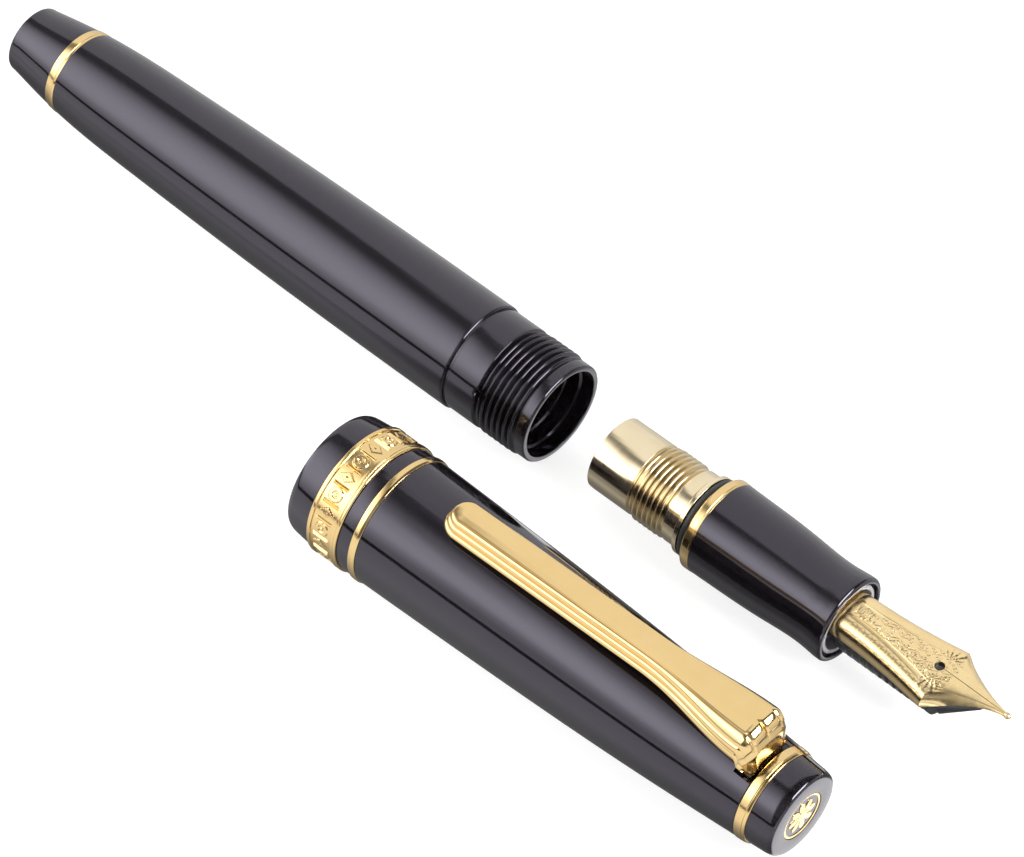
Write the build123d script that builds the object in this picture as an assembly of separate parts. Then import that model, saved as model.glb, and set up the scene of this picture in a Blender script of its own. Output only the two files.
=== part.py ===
from build123d import *
import os
from math import asin, cos, sin

# A cartridge and converter fountain pen, opened up: the barrel and the nib section lie on one
# axis along +X, and the cap lies beside them on a second axis.
# Lengths are in millimetres. A station is a distance along the pen from the barrel's flat tail,
# and a radius is taken about the axis of the barrel or of the cap.

# Overall
TIP_STATION = 140.4
BARREL_R = 6.48
CAP_MAX_R = 7.86
CAP_SPACING = 22.5

# Barrel
TAIL_R = 3.95
TAIL_EDGE = 0.35
END_RING_START = 6.9
END_RING_END = 8.1
RING_PROUD = 0.06
SHOULDER = 67.6
NECK_R = 6.27
THREAD_START = 72.0
THREAD_PITCH = 0.8
THREAD_RIDGES = 7
THREAD_CREST_R = 6.3
THREAD_ROOT_R = 5.95
MOUTH = 79.0
MOUTH_R = 6.07
MOUTH_BORE_R = 5.04
MOUTH_BORE_DEPTH = 1.75
NECK_BORE_R = 4.6
NECK_BORE_DEPTH = 15.0
BARREL_BORE_R = 4.1
BARREL_BORE_FLOOR = 11.6
SPIGOT_R = 3.2
FIT_GAP = 0.02

# Nib section, drawn forward out of the barrel
SECTION_BACK = 86.55
SLEEVE_TUBE_END = 92.15
SLEEVE_THREAD_PITCH = 0.67
SLEEVE_THREAD_RIDGES = 7
SLEEVE_R = 4.36
SLEEVE_CREST_R = 4.48
SLEEVE_ROOT_R = 4.2
SLEEVE_BORE_R = 3.75
FLANGE_START = 98.7
FLANGE_R = 4.84
SEAL_START = 99.3
TRIM_START = 100.3
GRIP_START = 101.6
GRIP_END = 119.24
GRIP_BACK_R = 5.5
STUB_R = 3.92
STUB_BORE_R = 3.2
STUB_END = 108.0
HOLDER_SHOULDER = 108.2
HOLDER_R = 4.2
HOLDER_FACE = 119.0
HOLDER_RECESS = 1.6
HOLDER_RECESS_R = 3.7
GRIP_RIM_BORE_R = 4.5
NIPPLE_R = 1.2
NIPPLE_BACK = 96.2

# Nib and feed
NIB_SHEET = 0.3
NIB_BACK = 107.5
NIB_AXIS_RISE = 0.15
HOLE_STATION = 131.0
HOLE_R = 0.57
SLIT_WIDTH = 0.1
NIB_END = 139.7
TIPPING_R = 0.42
FEED_BACK = 106.0
FEED_R = 2.68
FIN_START = 120.4
FIN_PITCH = 0.95
FIN_COUNT = 13
FIN_CORE_R = 2.05
FEED_TIP = 137.0

# Cap
LIP = 67.0
LIP_R = 7.3
BAND_START = 70.24
BAND_END = 74.38
THIN_RING_START = 76.0
THIN_RING_END = 76.9
CAP_BODY_R = 7.58
CAP_BODY_END = 127.2
CAP_END_R = 5.6
CAP_BORE_R = 6.36
CAP_BORE_END = 80.0
CAP_MID_BORE_R = 5.75
INNER_CAP_START = 98.5
INNER_CAP_END = 120.6
INNER_CAP_R = 5.33
INNER_CAP_BORE_R = 4.6
CLIP_RING_END = 128.6
FINIAL_END = 131.73
FINIAL_R = 5.36
EMBLEM_R = 2.87
SCREW_R = 1.5

# Clip: heights are above the cap's axis
CLIP_TIP = 83.7
CLIP_HALF = 2.4
CLIP_LEVELS = 3
CLIP_LEVEL_STEP = 0.45
CLIP_WIDENS = 113.0
CLIP_ROOT_HALF = 3.3
CLIP_BACK = 127.1
CLIP_TOP_TIP = 10.15
CLIP_TOP_ROOT = 11.15
CLIP_BASE_TIP = 8.0
CLIP_BASE_ROOT = 9.0
TANG_PIVOT = 126.4
TANG_PIVOT_HEIGHT = 5.4
TANG_FOOT_R = 0.6
TANG_HALF = 2.85
TANG_SLOT_START = 124.9
TANG_GAP = 0.3

# Converter, lying free in the barrel
CONVERTER_BACK = 12.2
CONVERTER_FRONT = 61.0
KNOB_END = 25.0
KNOB_R = 3.4
KNOB_FLUTES = 18
COLLAR_END = 33.0
COLLAR_R = 3.78
TUBE_R = 3.6
TUBE_BORE_R = 2.95
ROD_R = 1.15
PISTON_FRONT = 56.0
PISTON_LENGTH = 4.0
PISTON_TRAVEL = 12.0
KNOB_WALL = 1.0

MIDDLE = TIP_STATION / 2
BARREL_Y = (CAP_SPACING + CAP_MAX_R - BARREL_R) / 2
CAP_Y = BARREL_Y - CAP_SPACING


def turned(*points):
    """A solid turned about the X axis from a closed outline of (station, radius) points."""
    return revolve(make_face(Polyline(*points, close=True)), Axis.X)


def turned_curve(*points):
    """A solid turned about the X axis under a smooth line through (station, radius) points."""
    line = Spline(*points)
    base = Polyline(line @ 1, (points[-1][0], 0), (points[0][0], 0), line @ 0)
    return revolve(make_face(line + base), Axis.X)


def rod(start, end, radius):
    """A plain round bar on the X axis between two stations."""
    return turned((start, 0), (end, 0), (end, radius), (start, radius))


def ridges(start, pitch, count, root, crest):
    """Outline points of a row of thread ridges, each with a narrow flat crest."""
    points = []
    for turn in range(count):
        foot = start + turn * pitch
        points.append((foot, root))
        points.append((foot + 0.35 * pitch, crest))
        points.append((foot + 0.65 * pitch, crest))
    points.append((start + count * pitch, root))
    return points


def beside_barrel(shape):
    """Move a piece from the drawing axis to the barrel's axis."""
    return Pos(-MIDDLE, BARREL_Y, BARREL_R) * shape


def beside_cap(shape):
    """Move a piece from the drawing axis to the cap's axis."""
    return Pos(-MIDDLE, CAP_Y, CAP_MAX_R) * shape


# ---------------------------------------------------------------- barrel


def barrel_form():
    """The barrel's outer form from its flat tail to the shoulder, before it is parted."""
    return turned_curve((0, TAIL_R), (7.0, 5.05), (20.0, 5.84), (40.0, 6.32), (SHOULDER - 0.3, BARREL_R))


def barrel_end_cap():
    """The plug that closes the tail, with the spigot that goes into the shell."""
    cap = barrel_form() & rod(0, END_RING_START, BARREL_R)
    rim = cap.edges().filter_by(GeomType.CIRCLE).sort_by(Axis.X)[0]
    cap = fillet(rim, TAIL_EDGE)
    return cap + rod(END_RING_START, BARREL_BORE_FLOOR, SPIGOT_R)


def barrel_end_ring():
    """The ring between the end plug and the shell, with a bevelled front edge."""
    back_r = 5.05 + RING_PROUD
    front_r = 5.13 + RING_PROUD
    bevel = 0.12
    return turned(
        (END_RING_START, SPIGOT_R),
        (END_RING_END, SPIGOT_R),
        (END_RING_END, front_r - bevel),
        (END_RING_END - bevel, front_r),
        (END_RING_START, back_r),
    )


def barrel_shell():
    """The barrel: a tapered tube with a stepped-down neck that carries the cap thread."""
    body = barrel_form() & rod(END_RING_END, SHOULDER, BARREL_R)
    chamfer = 0.3
    groove_r = 6.12
    groove_end = SHOULDER + 0.3
    neck = turned(
        (SHOULDER - chamfer, 0),
        (SHOULDER - chamfer, BARREL_R),
        (SHOULDER, NECK_R),
        (SHOULDER, groove_r),
        (groove_end, groove_r),
        (groove_end, NECK_R),
        (THREAD_START - 0.1, NECK_R),
        *ridges(THREAD_START, THREAD_PITCH, THREAD_RIDGES, THREAD_ROOT_R, THREAD_CREST_R),
        (THREAD_START + THREAD_RIDGES * THREAD_PITCH, MOUTH_R),
        (MOUTH - 0.3, MOUTH_R),
        (MOUTH, MOUTH_R - 0.3),
        (MOUTH, 0),
    )
    shell = body + neck
    shell -= rod(END_RING_END, BARREL_BORE_FLOOR, SPIGOT_R + FIT_GAP)
    shell -= rod(BARREL_BORE_FLOOR, MOUTH, BARREL_BORE_R)
    shell -= rod(MOUTH - NECK_BORE_DEPTH, MOUTH, NECK_BORE_R)
    shell -= rod(MOUTH - MOUTH_BORE_DEPTH, MOUTH, MOUTH_BORE_R)
    return shell


# ---------------------------------------------------------------- nib section


def connector_sleeve():
    """The brass sleeve that screws into the barrel and takes the cartridge or converter."""
    thread_end = SLEEVE_TUBE_END + SLEEVE_THREAD_RIDGES * SLEEVE_THREAD_PITCH
    neck_r = 4.41
    step = TRIM_START + 0.2
    edge = 0.15
    return turned(
        (SECTION_BACK, SLEEVE_BORE_R),
        (step, SLEEVE_BORE_R),
        (step, STUB_BORE_R),
        (STUB_END, STUB_BORE_R),
        (STUB_END, STUB_R),
        (SEAL_START, STUB_R),
        (SEAL_START, FLANGE_R),
        (FLANGE_START, FLANGE_R),
        (FLANGE_START, neck_r),
        (thread_end, neck_r),
        *reversed(
            ridges(SLEEVE_TUBE_END, SLEEVE_THREAD_PITCH, SLEEVE_THREAD_RIDGES, SLEEVE_ROOT_R, SLEEVE_CREST_R)
        ),
        (SLEEVE_TUBE_END, SLEEVE_R),
        (SECTION_BACK + edge, SLEEVE_R),
        (SECTION_BACK, SLEEVE_R - edge),
    )


def o_ring():
    """The rubber ring that stops the section from working loose."""
    cord_r = (TRIM_START - SEAL_START) / 2
    middle = (TRIM_START + SEAL_START) / 2
    return revolve(Pos(middle, STUB_R + cord_r) * Circle(cord_r), Axis.X)


def section_trim_ring():
    """The gold ring at the back of the grip."""
    bevel = 0.22
    return turned(
        (TRIM_START, STUB_R),
        (GRIP_START, STUB_R),
        (GRIP_START, GRIP_BACK_R),
        (TRIM_START + bevel, GRIP_BACK_R + 0.05),
        (TRIM_START, GRIP_BACK_R - bevel),
    )


def grip_shell():
    """The grip: a tapered tube with a flared rim around the nib holder."""
    flare = GRIP_END - 1.0
    flare_r = 5.16
    rim_face_r = 4.87
    grip = turned_curve((GRIP_START, GRIP_BACK_R), (105.0, 5.44), (111.0, 5.22), (116.6, 5.01), (flare, flare_r))
    grip += turned((flare, 0), (flare, flare_r), (GRIP_END - 0.3, flare_r), (GRIP_END, rim_face_r), (GRIP_END, 0))
    grip -= rod(GRIP_START, HOLDER_SHOULDER, STUB_R + FIT_GAP)
    grip -= rod(HOLDER_SHOULDER, GRIP_END, HOLDER_R + FIT_GAP)
    return grip - rod(flare, GRIP_END, GRIP_RIM_BORE_R)


def nib_holder():
    """The inner housing: nib and feed push into its front, a cartridge onto its nipple."""
    plug_start = TRIM_START + 0.7
    holder = rod(plug_start, HOLDER_SHOULDER, STUB_BORE_R - FIT_GAP)
    holder += rod(HOLDER_SHOULDER, HOLDER_FACE, HOLDER_R)
    holder += rod(NIPPLE_BACK, plug_start, NIPPLE_R)
    holder -= rod(NIPPLE_BACK, FEED_BACK, 0.6)
    socket_r = FEED_R + NIB_SHEET + 0.1
    holder -= Pos(0, 0, NIB_AXIS_RISE) * rod(FEED_BACK - 0.3, HOLDER_FACE, socket_r)
    return holder - rod(HOLDER_FACE - HOLDER_RECESS, HOLDER_FACE, HOLDER_RECESS_R)


def nib_slice(station, half_width, edge_height, crown):
    """One cross-section of the nib: an arched strip of even thickness."""
    drop = crown - edge_height
    radius = (half_width**2 + drop**2) / (2 * drop)
    centre = crown - radius
    angle = asin(half_width / radius)
    inner = radius - NIB_SHEET

    def corner(reach, side):
        return (side * reach * sin(angle), centre + reach * cos(angle))

    upper = ThreePointArc(corner(radius, -1), (0, crown), corner(radius, 1))
    lower = ThreePointArc(corner(inner, 1), (0, crown - NIB_SHEET), corner(inner, -1))
    outline = upper + lower + Line(upper @ 1, lower @ 0) + Line(lower @ 1, upper @ 0)
    plane = Plane(origin=(station, 0, 0), x_dir=(0, 1, 0), z_dir=(1, 0, 0))
    return plane * make_face(outline)


def nib():
    """The nib: an arched sheet with shoulders, a breather hole and a slit to the tip."""
    slices = [
        nib_slice(NIB_BACK, 2.95, 0.7, 3.2),
        nib_slice(119.5, 3.0, 0.7, 3.2),
        nib_slice(127.0, 3.3, 0.75, 3.25),
        nib_slice(132.0, 4.2, 1.0, 3.3),
        nib_slice(135.5, 1.8, 2.4, 3.22),
        nib_slice(NIB_END, 0.4, 2.85, 3.1),
    ]
    sheet = loft(slices, ruled=True)
    sheet -= Pos(HOLE_STATION, 0, 3.0) * Cylinder(HOLE_R, 3)
    slit_length = NIB_END - HOLE_STATION + 1
    sheet -= Pos(HOLE_STATION + slit_length / 2, 0, 3.0) * Box(slit_length, SLIT_WIDTH, 3)
    return sheet


def nib_tipping():
    """The hard writing ball at the very tip."""
    ball = Pos(TIP_STATION - TIPPING_R, 0, 2.83) * Sphere(TIPPING_R)
    return ball & Pos(NIB_END + 1, 0, 2.83) * Box(2, 2, 2)


def feed():
    """The feed under the nib: a round back end, a comb of fins and a tapered beak."""
    fin_end = FIN_START + FIN_COUNT * FIN_PITCH
    body = rod(FEED_BACK, FIN_START, FEED_R) + rod(FIN_START, fin_end, FIN_CORE_R)
    fin_width = 0.5 * FIN_PITCH
    for fin in range(FIN_COUNT):
        foot = FIN_START + (fin + 0.5) * FIN_PITCH
        body += rod(foot, foot + fin_width, FEED_R - 0.02 * fin)
    beak_back = Plane(origin=(fin_end, 0, 0), x_dir=(0, 1, 0), z_dir=(1, 0, 0)) * Circle(FIN_CORE_R)
    beak_front = Plane(origin=(FEED_TIP, 0, 1.75), x_dir=(0, 1, 0), z_dir=(1, 0, 0)) * Circle(0.5)
    body += loft([beak_back, beak_front], ruled=True)
    return Pos(0, 0, NIB_AXIS_RISE) * body


# ---------------------------------------------------------------- cap


def cap_form():
    """The cap's tapered outer form between the thin ring and the clip ring."""
    return turned_curve(
        (THIN_RING_END, CAP_BODY_R),
        (90.0, 7.3),
        (103.0, 6.93),
        (115.0, 6.4),
        (CAP_BODY_END, CAP_END_R),
    )


def cap_shell():
    """The cap: lip, seats for the rings, tapered body, stepped bore and the clip's slot."""
    band_seat_r = 7.2
    gap_r = 7.6
    mouth_part = turned(
        (LIP, 0),
        (LIP, LIP_R - 0.35),
        (LIP + 0.3, LIP_R - 0.05),
        (BAND_START, CAP_BODY_R + 0.05),
        (BAND_START, band_seat_r),
        (BAND_END, band_seat_r),
        (BAND_END, gap_r),
        (THIN_RING_START, gap_r),
        (THIN_RING_START, band_seat_r),
        (THIN_RING_END, band_seat_r),
        (THIN_RING_END, 0),
    )
    shell = mouth_part + cap_form()
    shell -= rod(LIP, CAP_BORE_END, CAP_BORE_R)
    shell -= rod(CAP_BORE_END, INNER_CAP_START, CAP_MID_BORE_R)
    shell -= rod(INNER_CAP_START, INNER_CAP_END, INNER_CAP_R)
    shell -= rod(INNER_CAP_END, CAP_BODY_END, SCREW_R)
    slot = Pos(CAP_BODY_END, 0, TANG_PIVOT_HEIGHT - TANG_FOOT_R - TANG_GAP) * Box(
        CAP_BODY_END - TANG_SLOT_START,
        2 * (TANG_HALF + TANG_GAP),
        CAP_BODY_R,
        align=(Align.MAX, Align.CENTER, Align.MIN),
    )
    return shell - slot


def cap_band():
    """The wide ring at the mouth: a low field between two raised edge rims."""
    seat_r = 7.2
    field_r = 7.72
    back_rim = 0.55
    front_rim = 0.8
    return turned(
        (BAND_START, seat_r),
        (BAND_END, seat_r),
        (BAND_END, CAP_MAX_R - 0.1),
        (BAND_END - 0.1, CAP_MAX_R),
        (BAND_END - front_rim, CAP_MAX_R),
        (BAND_END - front_rim, field_r),
        (BAND_START + back_rim, field_r),
        (BAND_START + back_rim, CAP_MAX_R),
        (BAND_START + 0.1, CAP_MAX_R),
        (BAND_START, CAP_MAX_R - 0.1),
    )


def cap_thin_ring():
    """The narrow ring beyond the band."""
    seat_r = 7.2
    crown_r = 7.75
    return turned(
        (THIN_RING_START, seat_r),
        (THIN_RING_END, seat_r),
        (THIN_RING_END, crown_r - 0.15),
        (THIN_RING_END - 0.2, crown_r),
        (THIN_RING_START + 0.1, crown_r),
        (THIN_RING_START, crown_r - 0.1),
    )


def inner_cap():
    """The liner that seals around the grip's rim and keeps the nib from drying."""
    liner = rod(INNER_CAP_START, INNER_CAP_END, INNER_CAP_R)
    liner -= rod(INNER_CAP_START, INNER_CAP_END - 1.0, INNER_CAP_BORE_R)
    return liner - rod(INNER_CAP_END - 1.0, INNER_CAP_END, SCREW_R)


def clip_ring():
    """The gold ring that the finial clamps against the cap's end."""
    edge = 0.15
    return turned(
        (CAP_BODY_END, SCREW_R),
        (CLIP_RING_END, SCREW_R),
        (CLIP_RING_END, FINIAL_R + 0.1),
        (CLIP_RING_END - edge, FINIAL_R + 0.18),
        (CAP_BODY_END + edge, CAP_END_R + 0.06),
        (CAP_BODY_END, CAP_END_R),
    )


def finial():
    """The flat-topped end piece, with a round seat for the emblem."""
    body = turned(
        (CLIP_RING_END, 0),
        (CLIP_RING_END, FINIAL_R),
        (FINIAL_END - 0.5, FINIAL_R - 0.25),
        (FINIAL_END - 0.15, FINIAL_R - 0.4),
        (FINIAL_END, FINIAL_R - 0.75),
        (FINIAL_END, 0),
    )
    body -= rod(FINIAL_END - 0.5, FINIAL_END, EMBLEM_R)
    return body - rod(CLIP_RING_END, FINIAL_END - 1.2, SCREW_R)


def finial_emblem():
    """The round medallion set into the finial's face."""
    return rod(FINIAL_END - 0.5, FINIAL_END - 0.02, EMBLEM_R)


def finial_screw():
    """The screw that holds liner, cap, clip ring and finial together."""
    head_r = 3.0
    head_length = 0.9
    liner_floor = INNER_CAP_END - 1.0
    screw = rod(liner_floor, FINIAL_END - 1.3, SCREW_R)
    head = rod(liner_floor - head_length, liner_floor, head_r)
    slot = Pos(liner_floor - head_length, 0, 0) * Box(0.8, 0.7, 2 * head_r)
    return screw + head - slot


def clip_plan(level):
    """The clip's outline seen from above, at one of its levels from the base up."""
    inset = level * CLIP_LEVEL_STEP
    half = CLIP_HALF - inset
    root_half = CLIP_ROOT_HALF - inset
    tip = CLIP_TIP + inset
    tip_arc = ThreePointArc((tip + half, half), (tip, 0), (tip + half, -half))
    edge = Polyline(
        tip_arc @ 1,
        (CLIP_WIDENS, -half),
        (CLIP_BACK - 3.0, -root_half),
        (CLIP_BACK - 1.2, -root_half),
        (CLIP_BACK, -root_half + 0.3),
        (CLIP_BACK, root_half - 0.3),
        (CLIP_BACK - 1.2, root_half),
        (CLIP_BACK - 3.0, root_half),
        (CLIP_WIDENS, half),
        tip_arc @ 0,
    )
    return extrude(make_face(tip_arc + edge), amount=2 * CLIP_TOP_ROOT)


def clip_side(level):
    """The clip seen from the side, filled between one level and the next."""
    thickness = CLIP_TOP_ROOT - CLIP_BASE_ROOT
    low = level / CLIP_LEVELS * thickness
    high = (level + 1) / CLIP_LEVELS * thickness
    outline = Polyline(
        (CLIP_TIP, CLIP_BASE_TIP + low),
        (CLIP_BACK, CLIP_BASE_ROOT + low),
        (CLIP_BACK, CLIP_BASE_ROOT + high),
        (CLIP_TIP, CLIP_BASE_TIP + high),
        close=True,
    )
    return extrude(Plane.XZ * make_face(outline), amount=CLIP_ROOT_HALF + 1, both=True)


def clip():
    """The sprung clip: a stepped blade with a round end, a knuckle, and a tang in the cap's end."""
    blade = clip_side(0) & clip_plan(0)
    for level in range(1, CLIP_LEVELS):
        blade += clip_side(level) & clip_plan(level)
    wall = 1.3
    knuckle_foot = 7.2
    knuckle = Pos(CLIP_BACK, 0, CLIP_BASE_ROOT) * Box(
        wall,
        2 * TANG_HALF,
        CLIP_BASE_ROOT - knuckle_foot,
        align=(Align.MAX, Align.CENTER, Align.MAX),
    )
    tang = Pos(TANG_PIVOT, 0, TANG_PIVOT_HEIGHT) * Box(
        2 * TANG_FOOT_R,
        2 * TANG_HALF,
        knuckle_foot - TANG_PIVOT_HEIGHT,
        align=(Align.CENTER, Align.CENTER, Align.MIN),
    )
    foot = Pos(TANG_PIVOT, 0, TANG_PIVOT_HEIGHT) * Rot(X=90) * Cylinder(TANG_FOOT_R, 2 * TANG_HALF)
    pad_r = 1.1
    pad_bottom = 7.5
    pad = Pos(CLIP_TIP + CLIP_HALF, 0, pad_bottom + pad_r) * Sphere(pad_r)
    return blade + knuckle + tang + foot + pad


# ---------------------------------------------------------------- converter


def converter_tube():
    """The clear ink tube, with a narrow mouth that pushes onto the nipple."""
    mouth_start = CONVERTER_FRONT - 3.0
    mouth_bore = NIPPLE_R + 0.04
    return turned(
        (KNOB_END + 2.0, TUBE_BORE_R),
        (mouth_start, TUBE_BORE_R),
        (mouth_start, mouth_bore),
        (CONVERTER_FRONT, mouth_bore),
        (CONVERTER_FRONT, TUBE_R - 0.3),
        (CONVERTER_FRONT - 0.3, TUBE_R),
        (COLLAR_END, TUBE_R),
        (COLLAR_END, TUBE_BORE_R + 0.3),
        (KNOB_END + 2.0, TUBE_BORE_R + 0.3),
    )


def converter_collar():
    """The metal collar that grips the tube's back end and guides the piston rod."""
    return turned(
        (KNOB_END + 0.1, ROD_R + 0.1),
        (KNOB_END + 2.0, ROD_R + 0.1),
        (KNOB_END + 2.0, TUBE_BORE_R + 0.3),
        (COLLAR_END, TUBE_BORE_R + 0.3),
        (COLLAR_END, COLLAR_R),
        (KNOB_END + 0.1, COLLAR_R),
    )


def converter_knob():
    """The fluted turning knob, bored to take the rod when the piston is drawn back."""
    knob = rod(CONVERTER_BACK, KNOB_END, KNOB_R)
    flute_r = 0.35
    for flute in range(KNOB_FLUTES):
        groove = Pos(0, 0, KNOB_R + 0.1) * rod(CONVERTER_BACK + 1.0, KNOB_END - 1.5, flute_r)
        knob -= Rot(X=360 / KNOB_FLUTES * flute) * groove
    return knob - rod(CONVERTER_BACK + KNOB_WALL, KNOB_END, ROD_R + 0.1)


def piston_rod():
    """The screwed rod that carries the seal and draws back into the knob."""
    rod_back = CONVERTER_BACK + KNOB_WALL + PISTON_TRAVEL + 0.4
    return rod(rod_back, PISTON_FRONT - PISTON_LENGTH, ROD_R)


def piston_seal():
    """The double-lipped seal that slides in the tube."""
    back = PISTON_FRONT - PISTON_LENGTH
    lip_r = TUBE_BORE_R - 0.03
    waist_r = lip_r - 0.5
    return turned(
        (back, 0),
        (back, lip_r),
        (back + 0.9, lip_r),
        (back + 1.3, waist_r),
        (back + 2.7, waist_r),
        (back + 3.1, lip_r),
        (PISTON_FRONT, lip_r),
        (PISTON_FRONT, 0),
    )


BARREL_AXIS_PIECES = [
    barrel_end_cap,
    barrel_end_ring,
    barrel_shell,
    connector_sleeve,
    o_ring,
    section_trim_ring,
    grip_shell,
    nib_holder,
    nib,
    nib_tipping,
    feed,
    converter_tube,
    converter_collar,
    converter_knob,
    piston_rod,
    piston_seal,
]
CAP_AXIS_PIECES = [
    cap_shell,
    cap_band,
    cap_thin_ring,
    inner_cap,
    clip_ring,
    finial,
    finial_emblem,
    finial_screw,
    clip,
]

os.makedirs("parts", exist_ok=True)
for piece in BARREL_AXIS_PIECES:
    export_step(beside_barrel(piece()), f"parts/{piece.__name__}.step")
for piece in CAP_AXIS_PIECES:
    export_step(beside_cap(piece()), f"parts/{piece.__name__}.step")
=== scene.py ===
from math import atan2, cos, exp, floor, hypot, pi, radians, sin, sqrt

import bmesh
import bpy
import numpy as np
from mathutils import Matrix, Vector


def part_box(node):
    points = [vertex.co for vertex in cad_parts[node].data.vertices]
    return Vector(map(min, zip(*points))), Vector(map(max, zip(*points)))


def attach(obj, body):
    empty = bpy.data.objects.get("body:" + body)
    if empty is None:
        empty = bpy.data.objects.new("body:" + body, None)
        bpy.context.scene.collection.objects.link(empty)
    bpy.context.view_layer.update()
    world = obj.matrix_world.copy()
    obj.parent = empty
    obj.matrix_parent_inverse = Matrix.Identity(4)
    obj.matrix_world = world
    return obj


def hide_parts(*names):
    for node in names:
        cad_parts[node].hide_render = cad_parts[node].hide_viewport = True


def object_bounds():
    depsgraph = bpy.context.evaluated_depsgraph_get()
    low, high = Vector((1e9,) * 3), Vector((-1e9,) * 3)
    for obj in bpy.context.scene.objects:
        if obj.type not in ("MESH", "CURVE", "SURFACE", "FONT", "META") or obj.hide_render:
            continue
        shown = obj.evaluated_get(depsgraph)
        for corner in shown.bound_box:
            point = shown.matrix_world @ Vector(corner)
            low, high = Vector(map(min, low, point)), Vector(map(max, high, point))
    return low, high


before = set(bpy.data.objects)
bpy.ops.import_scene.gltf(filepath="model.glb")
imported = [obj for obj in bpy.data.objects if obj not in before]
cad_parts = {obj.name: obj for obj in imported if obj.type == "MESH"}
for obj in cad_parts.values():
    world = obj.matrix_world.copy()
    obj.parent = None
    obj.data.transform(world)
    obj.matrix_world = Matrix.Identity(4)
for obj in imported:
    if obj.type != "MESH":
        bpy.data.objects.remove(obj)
CAD_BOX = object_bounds()

# Lengths are written in millimetres and turned into metres where vertices are made.
# A station is a distance along the pen from the barrel's flat tail; a radius or an offset is
# taken about the axis of the barrel or of the cap; an angle is from straight up towards +Y.
MM = 0.001
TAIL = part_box("barrel_end_cap")[0][0]
SEGMENTS = 160
FINE_SEGMENTS = 288


def middle_of(node):
    """The (y, z) of a turned node's axis, in metres."""
    low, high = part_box(node)
    return ((low[1] + high[1]) / 2, (low[2] + high[2]) / 2)


def start_of(node):
    """The station of a node's tail end."""
    return (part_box(node)[0][0] - TAIL) / MM


def end_of(node):
    """The station of a node's nib end."""
    return (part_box(node)[1][0] - TAIL) / MM


def span_of(node):
    """The stations of a node's two ends."""
    return start_of(node), end_of(node)


def radius_of(node):
    """A turned node's largest radius."""
    low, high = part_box(node)
    return (high[1] - low[1]) / 2 / MM


BARREL_AXIS = middle_of("barrel_shell")
CAP_AXIS = middle_of("cap_band")


# ---------- outlines


def smooth_line(points, step=0.5):
    """Points along a natural cubic curve through the given (station, radius) points."""
    s = np.array([p[0] for p in points], float)
    r = np.array([p[1] for p in points], float)
    n = len(s)
    h = np.diff(s)
    system = np.eye(n)
    right = np.zeros(n)
    for i in range(1, n - 1):
        system[i, i - 1 : i + 2] = h[i - 1], 2 * (h[i - 1] + h[i]), h[i]
        right[i] = 6 * ((r[i + 1] - r[i]) / h[i] - (r[i] - r[i - 1]) / h[i - 1])
    bend = np.linalg.solve(system, right)
    line = []
    for i in range(n - 1):
        count = max(1, int(round(h[i] / step)))
        for k in range(count):
            b = k / count
            a = 1 - b
            cubic = ((a**3 - a) * bend[i] + (b**3 - b) * bend[i + 1]) * h[i] ** 2 / 6
            line.append((s[i] + b * h[i], a * r[i] + b * r[i + 1] + cubic))
    line.append((s[-1], r[-1]))
    return line


def soften(corners, steps=5):
    """An outline with its marked corners rounded: a corner is (station, radius, rounding)."""
    outline = []
    count = len(corners)
    for i, corner in enumerate(corners):
        here = np.array(corner[:2], float)
        rounding = corner[2] if len(corner) > 2 else 0
        if not rounding or i in (0, count - 1):
            outline.append(tuple(here))
            continue
        before = np.array(corners[i - 1][:2], float) - here
        after = np.array(corners[i + 1][:2], float) - here
        reach = min(rounding, 0.48 * np.linalg.norm(before), 0.48 * np.linalg.norm(after))
        first = here + before / np.linalg.norm(before) * reach
        last = here + after / np.linalg.norm(after) * reach
        for k in range(steps + 1):
            t = k / steps
            point = (1 - t) ** 2 * first + 2 * t * (1 - t) * here + t**2 * last
            outline.append(tuple(point))
    return outline


def divided(outline, start, end, step):
    """The outline with its runs between two stations cut into short steps."""
    fine = [outline[0]]
    for (s0, r0), (s1, r1) in zip(outline, outline[1:]):
        inside = min(s0, s1) >= start - 1e-6 and max(s0, s1) <= end + 1e-6
        count = max(1, int(abs(s1 - s0) / step)) if inside else 1
        for k in range(1, count + 1):
            t = k / count
            fine.append((s0 + t * (s1 - s0), r0 + t * (r1 - r0)))
    return fine


def ease(t):
    """A smooth step from 0 to 1."""
    t = min(max(t, 0), 1)
    return t * t * (3 - 2 * t)


# ---------- meshes


def finished(name, vertices, faces, sharp=38):
    """A smooth-shaded object, with its edges kept sharp where they turn more than an angle."""
    mesh = bpy.data.meshes.new(name)
    mesh.from_pydata(vertices, [], faces)
    form = bmesh.new()
    form.from_mesh(mesh)
    bmesh.ops.remove_doubles(form, verts=form.verts, dist=1e-7)
    bmesh.ops.dissolve_degenerate(form, edges=form.edges, dist=1e-8)
    bmesh.ops.recalc_face_normals(form, faces=form.faces)
    shade(form, sharp)
    form.to_mesh(mesh)
    form.free()
    piece = bpy.data.objects.new(name, mesh)
    bpy.context.scene.collection.objects.link(piece)
    return piece


def shade(form, sharp):
    """Smooth faces, sharp edges above the angle."""
    limit = radians(sharp)
    for face in form.faces:
        face.smooth = True
    for edge in form.edges:
        edge.smooth = edge.is_manifold and edge.calc_face_angle(0) < limit


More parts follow.
